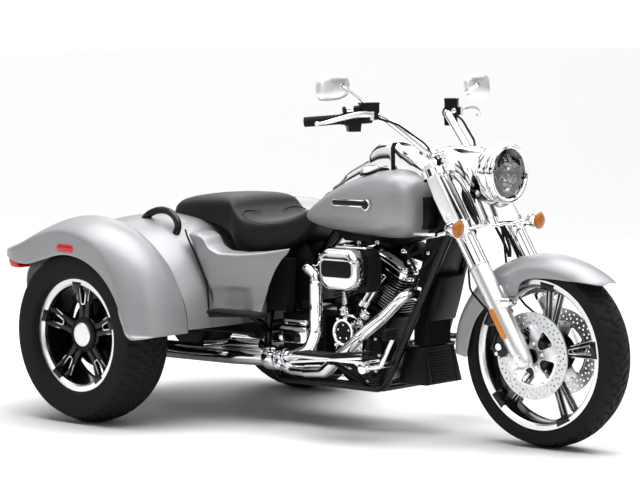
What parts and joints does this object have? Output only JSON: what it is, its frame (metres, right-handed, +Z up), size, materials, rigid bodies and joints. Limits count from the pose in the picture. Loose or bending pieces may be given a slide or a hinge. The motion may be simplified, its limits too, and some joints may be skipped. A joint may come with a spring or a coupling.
{
  "type": "motorized trike",
  "caption": "Motorized trike: two-up touring seat, open V-twin engine, low trunk between wide rear fenders, high handlebar and one steered front wheel.",
  "frame": {"origin": "on the floor under the middle of the overall length and width", "axes": "+X forward, +Y to the rider's left, +Z up"},
  "size_m": [2.5699, 1.39, 1.2677],
  "materials": {
    "amber_lens": "clear gloss",
    "bare_aluminium": "satin",
    "black_aluminium": "black powder coat",
    "black_plastic": "matte",
    "black_steel": "gloss black powder coat",
    "body_silver": "satin metallic paint",
    "chrome": "polished chrome",
    "clear_lens": "clear gloss",
    "disc_steel": "brushed",
    "leather": "matte",
    "paint_silver": "satin metallic paint",
    "red_lens": "clear gloss",
    "rubber": "matte",
    "tyre": "matte"
  },
  "bodies": {
    "chassis": {"frame": "black_steel", "crankcase": "black_aluminium", "cylinders": "black_aluminium", "rocker_covers": "chrome", "cam_cover": "chrome", "pushrod_tubes": "chrome", "air_filter": "black_plastic", "air_cleaner": "chrome", "gearbox": "black_aluminium", "primary_cover": "chrome", "horn": "chrome", "exhaust_headers": "chrome", "mufflers": "chrome", "oil_cooler": "black_plastic", "regulator": "black_aluminium", "side_panels": "black_plastic", "fuel_tank": "paint_silver", "tank_console": "chrome", "seat": "leather", "trunk_body": "body_silver", "mid_cover": "body_silver", "rear_fender_right": "body_silver", "rear_fender_left": "body_silver", "tail_lamps": "red_lens", "grab_handles": "black_plastic", "passenger_boards": "black_aluminium", "rider_boards": "chrome", "foot_controls": "chrome", "rear_axle": "black_steel", "swingarm": "black_steel", "rear_shocks": "black_steel", "drive_belt": "rubber", "plate_bracket": "black_steel"},
    "trunk_lid": {"trunk_lid": "body_silver"},
    "steering": {"triple_clamps": "bare_aluminium", "fork_tubes": "chrome", "fork_sliders": "chrome", "front_fender": "paint_silver", "nacelle": "chrome", "headlamp": "chrome", "headlamp_lens": "clear_lens", "handlebar": "chrome", "hand_controls": "black_aluminium", "mirrors": "chrome", "front_signals": "chrome", "amber_lenses": "amber_lens", "front_calipers": "black_aluminium", "control_lines": "rubber"},
    "front_wheel": {"front_tyre": "tyre", "front_rim": "black_aluminium", "front_discs": "disc_steel"},
    "rear_wheel_right": {"rear_tyre_right": "tyre", "rear_rim_right": "black_aluminium"},
    "rear_wheel_left": {"rear_tyre_left": "tyre", "rear_rim_left": "black_aluminium"}
  },
  "joints": [
    {"name": "steering_turn", "type": "hinge", "parent": "chassis", "child": "steering", "pos_m": [1.0657, 0, 0], "axis": [-0.4384, 0, 0.8988], "range_deg": [-32, 32]},
    {"name": "front_wheel_spin", "type": "hinge", "parent": "steering", "child": "front_wheel", "pos_m": [0.9657, 0, 0.3193], "axis": [0, 1, 0], "continuous": true},
    {"name": "rear_wheel_right_spin", "type": "hinge", "parent": "chassis", "child": "rear_wheel_right", "pos_m": [-0.7043, -0.5635, 0.3238], "axis": [0, 1, 0], "continuous": true},
    {"name": "rear_wheel_left_spin", "type": "hinge", "parent": "chassis", "child": "rear_wheel_left", "pos_m": [-0.7043, 0.5635, 0.3238], "axis": [0, 1, 0], "continuous": true},
    {"name": "trunk_lid_open", "type": "hinge", "parent": "chassis", "child": "trunk_lid", "pos_m": [-0.7365, 0, 0.774], "axis": [0, 1, 0], "range_deg": [0, 70]}
  ]
}
